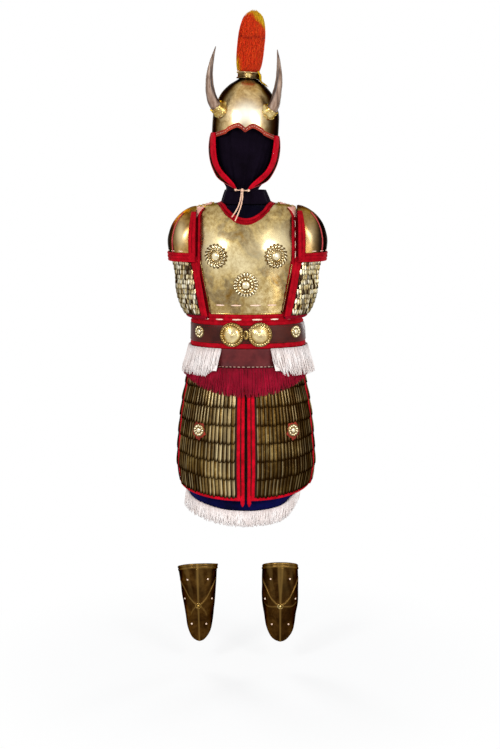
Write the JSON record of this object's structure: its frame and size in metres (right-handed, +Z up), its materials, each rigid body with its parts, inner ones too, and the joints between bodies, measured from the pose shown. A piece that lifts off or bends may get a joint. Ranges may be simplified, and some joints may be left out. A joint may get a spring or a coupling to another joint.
{
  "type": "bronze age suit of armour",
  "caption": "Horned bronze helmet with cheek guards and plume, laced cuirass, shoulder and arm guards, clasped belt, split scale skirt and greaves on a cloth form.",
  "frame": {"origin": "middle of the waist at the belt, on the wearer's own axis", "axes": "+Z up towards the plume, the front faces -Y, +X to the viewer's right"},
  "size_m": [0.477, 0.3037, 1.9332],
  "materials": {
    "bronze": "polished, with patina",
    "dark_bronze": "dark, polished on the high parts",
    "red_felt": "felt",
    "maroon_wool": "wool, fringed and bound",
    "white_wool": "wool fringe",
    "navy_cloth": "woven, matt",
    "brown_leather": "dark, smooth",
    "brick_leather": "matt",
    "thong_leather": "undyed",
    "horn": "horn, streaked",
    "plume_hair": "dyed hair"
  },
  "bodies": {
    "torso": {"tunic": "navy_cloth", "hem_fringe": "white_wool", "neck_cloth": "navy_cloth", "vest": "red_felt", "breastplate": "bronze", "backplate": "bronze", "chest_rosette_left": "bronze", "chest_rosette_right": "bronze", "low_rosette": "bronze", "shoulder_tab_left": "thong_leather", "shoulder_tab_right": "thong_leather", "belt_felt": "red_felt", "belt": "brown_leather", "belt_disc_left": "bronze", "belt_disc_right": "bronze", "belt_rosette_left": "bronze", "belt_rosette_right": "bronze", "waistband": "brown_leather", "apron_left": "white_wool", "apron_right": "white_wool", "skirt_back": "bronze", "back_fringe": "maroon_wool"},
    "clasp": {"clasp": "bronze"},
    "head": {"head_form": "navy_cloth", "helmet": "bronze", "brow_trim": "brick_leather", "helmet_liner": "red_felt", "horn_left": "horn", "horn_right": "horn", "horn_socket_left": "bronze", "horn_socket_right": "bronze", "plume_socket": "dark_bronze"},
    "plume": {"plume": "plume_hair"},
    "cheek_left": {"cheek_plate_left": "dark_bronze", "cheek_felt_left": "red_felt", "toggle_left": "thong_leather", "knot": "thong_leather", "tie_end_long": "thong_leather", "tie_end_short": "thong_leather"},
    "cheek_right": {"cheek_plate_right": "dark_bronze", "cheek_felt_right": "red_felt", "toggle_right": "thong_leather"},
    "shoulder_left": {"shoulder_guard_left": "bronze", "shoulder_trim_left": "red_felt"},
    "arm_left": {"arm_guard_left": "maroon_wool", "arm_scales_left": "bronze"},
    "skirt_front_left": {"skirt_left": "maroon_wool", "skirt_scales_left": "bronze", "skirt_fringe_left": "maroon_wool", "skirt_rosette_left": "bronze"},
    "greave_left": {"greave_left": "dark_bronze"},
    "shoulder_right": {"shoulder_guard_right": "bronze", "shoulder_trim_right": "red_felt"},
    "arm_right": {"arm_guard_right": "maroon_wool", "arm_scales_right": "bronze"},
    "skirt_front_right": {"skirt_right": "maroon_wool", "skirt_scales_right": "bronze", "skirt_fringe_right": "maroon_wool", "skirt_rosette_right": "bronze"},
    "greave_right": {"greave_right": "dark_bronze"}
  },
  "joints": [
    {"name": "clasp_hook", "type": "hinge", "parent": "torso", "child": "clasp", "pos_m": [-0.0065, -0.1312, 0], "axis": [0, 0, -1], "range_deg": [0, 75]},
    {"name": "head_turn", "type": "hinge", "parent": "torso", "child": "head", "pos_m": [0, 0, 0.43], "axis": [0, 0, 1], "range_deg": [-20, 20]},
    {"name": "plume_lift", "type": "slide", "parent": "head", "child": "plume", "axis": [0.0523, 0, 0.9986], "range_m": [0, 0.05]},
    {"name": "cheek_swing_left", "type": "hinge", "parent": "head", "child": "cheek_left", "pos_m": [-0.10705, -0.04, 0.60355], "axis": [0, 1, 0], "range_deg": [0, 60]},
    {"name": "shoulder_swing_left", "type": "hinge", "parent": "torso", "child": "shoulder_left", "pos_m": [-0.15, 0, 0.379], "axis": [0, 1, 0], "range_deg": [0, 50]},
    {"name": "arm_swing_left", "type": "hinge", "parent": "shoulder_left", "child": "arm_left", "pos_m": [-0.2327, 0, 0.216], "axis": [0, 1, 0], "range_deg": [0, 25]},
    {"name": "skirt_swing_left", "type": "hinge", "parent": "torso", "child": "skirt_front_left", "pos_m": [-0.1, -0.132, -0.1018], "axis": [-1, 0, 0], "range_deg": [0, 30]},
    {"name": "greave_off_left", "type": "slide", "parent": "torso", "child": "greave_left", "axis": [0, -1, 0], "range_m": [0, 0.15]},
    {"name": "cheek_swing_right", "type": "hinge", "parent": "head", "child": "cheek_right", "pos_m": [0.10266, -0.04, 0.59256], "axis": [0, -1, 0], "range_deg": [0, 60]},
    {"name": "shoulder_swing_right", "type": "hinge", "parent": "torso", "child": "shoulder_right", "pos_m": [0.15, 0, 0.379], "axis": [0, -1, 0], "range_deg": [0, 50]},
    {"name": "arm_swing_right", "type": "hinge", "parent": "shoulder_right", "child": "arm_right", "pos_m": [0.2327, 0, 0.216], "axis": [0, -1, 0], "range_deg": [0, 25]},
    {"name": "skirt_swing_right", "type": "hinge", "parent": "torso", "child": "skirt_front_right", "pos_m": [0.1, -0.132, -0.1018], "axis": [-1, 0, 0], "range_deg": [0, 30]},
    {"name": "greave_off_right", "type": "slide", "parent": "torso", "child": "greave_right", "axis": [0, -1, 0], "range_m": [0, 0.15]}
  ]
}
